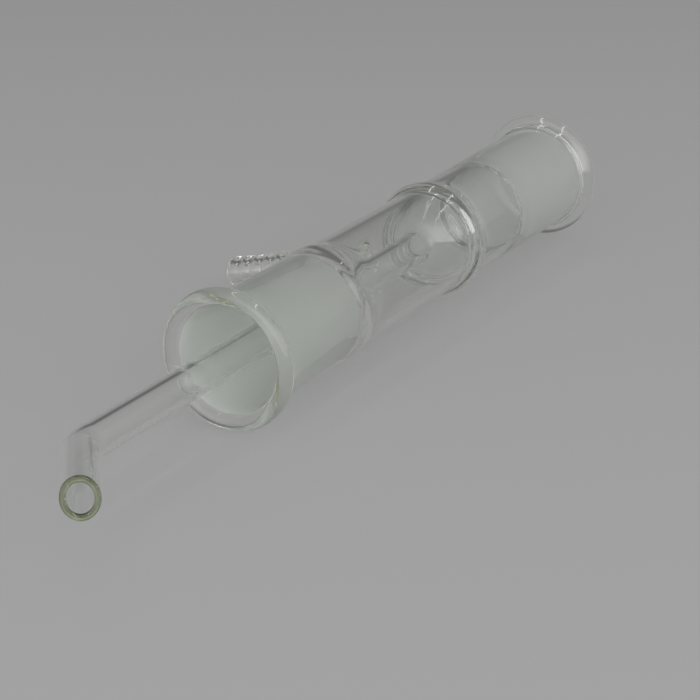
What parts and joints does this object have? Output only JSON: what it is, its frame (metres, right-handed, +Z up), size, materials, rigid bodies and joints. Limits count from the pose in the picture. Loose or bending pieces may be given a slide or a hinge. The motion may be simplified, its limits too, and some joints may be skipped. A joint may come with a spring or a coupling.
{
  "type": "receiver adapter",
  "caption": "Blown glass receiver adapter with a ground taper socket at each end, a bent drip tube sealed in through an inner dome, and a ridged side hose connection.",
  "frame": {"origin": "middle of the footprint, on the surface that the adapter lies on", "axes": "+X along the body's axis away from the drip tube's tip, +Z up, hose connection towards +Y"},
  "size_m": [0.2874, 0.0872, 0.038],
  "materials": {
    "borosilicate_glass": "clear and fire-polished, finely ground inside both sockets"
  },
  "bodies": {
    "root": {"receiver_adapter": "borosilicate_glass"}
  },
  "joints": []
}
